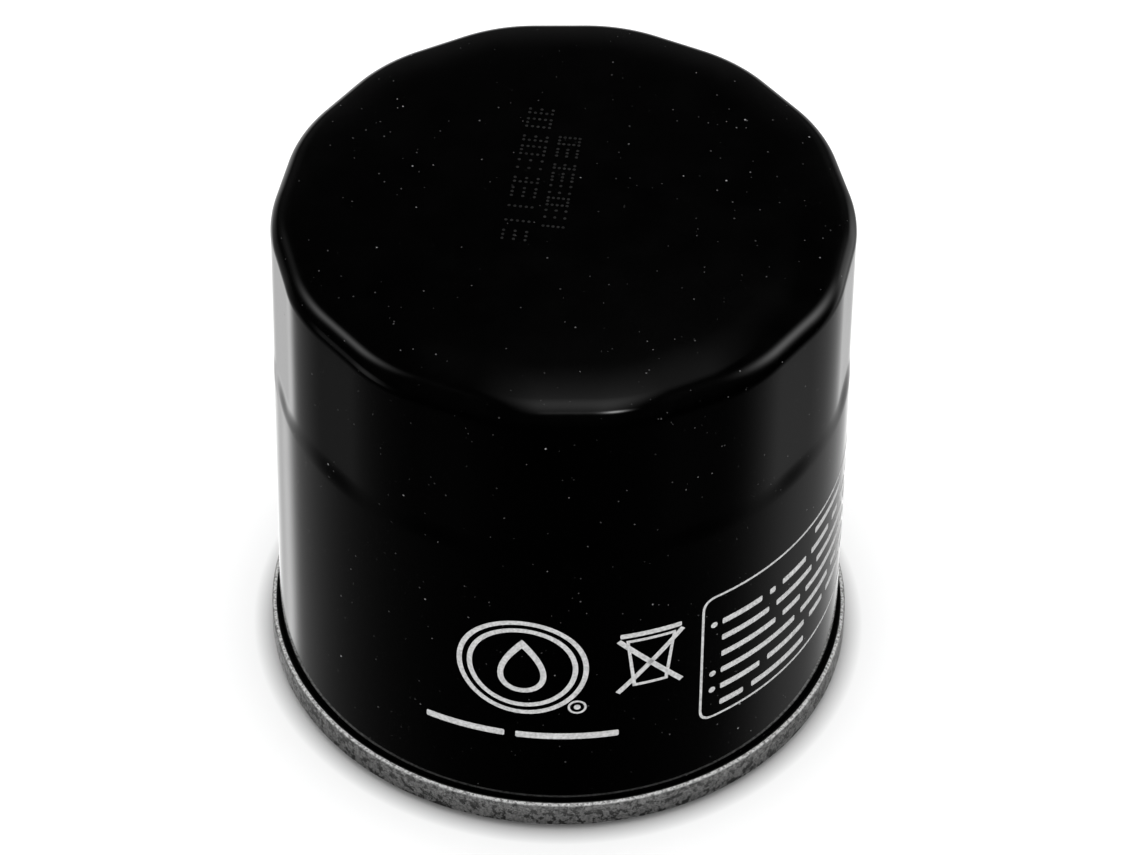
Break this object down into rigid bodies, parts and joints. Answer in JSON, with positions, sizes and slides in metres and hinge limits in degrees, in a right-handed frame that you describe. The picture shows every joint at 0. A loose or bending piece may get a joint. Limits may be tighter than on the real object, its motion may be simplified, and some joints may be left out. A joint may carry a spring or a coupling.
{
  "type": "oil filter",
  "caption": "Spin-on oil filter: black deep-drawn can with wrench flats round its domed end, silver seamed rim, threaded base plate, gasket, pleated element and valves.",
  "frame": {"origin": "centre of the gasket's sealing face, the lowest plane of the filter", "axes": "+Z along the thread's axis, from the engine to the closed domed end; -Y faces one wrench flat"},
  "size_m": [0.0782, 0.0782, 0.078],
  "materials": {
    "black_paint": "gloss",
    "tinplate": "satin, mottled tin coating",
    "weld_steel": "heat tinted",
    "seam_compound": "matt",
    "gasket_rubber": "satin, oiled",
    "plate_steel": "rolled, lightly oiled",
    "valve_rubber": "matt",
    "cap_steel": "tinned",
    "potting": "cured adhesive",
    "filter_paper": "resin-treated paper",
    "tube_steel": "perforated sheet",
    "valve_steel": "zinc plated, yellow passivated",
    "seal_rubber": "matt",
    "stem_steel": "bright",
    "spring_steel": "oil tempered wire"
  },
  "bodies": {
    "housing": {"can_shell": "black_paint", "seaming_lid": "tinplate", "spot_welds": "weld_steel", "seam_compound": "seam_compound", "mounting_gasket": "gasket_rubber", "base_plate": "plate_steel", "lower_end_cap": "cap_steel", "upper_end_cap": "cap_steel", "lower_potting": "potting", "upper_potting": "potting", "pleated_element": "filter_paper", "pleat_seam_clip": "cap_steel", "center_tube": "tube_steel", "bypass_cage": "valve_steel", "bypass_seat": "valve_steel", "support_spring": "spring_steel"},
    "bypass_valve": {"bypass_poppet": "valve_steel", "bypass_seal": "seal_rubber", "bypass_stem": "stem_steel", "bypass_spring": "spring_steel"},
    "drainback_flap": {"drainback_valve": "valve_rubber"}
  },
  "joints": [
    {"name": "bypass_lift", "type": "slide", "parent": "housing", "child": "bypass_valve", "axis": [0, 0, -1], "range_m": [0, 0.0025], "stiffness_N_per_m": 300, "springref_m": -0.0003, "deforming": ["bypass_spring"]},
    {"name": "drainback_lift", "type": "slide", "parent": "housing", "child": "drainback_flap", "axis": [0, 0, 1], "range_m": [0, 0.0012], "stiffness_N_per_m": 80, "springref_m": -0.0003, "deforming": ["drainback_valve"]}
  ]
}
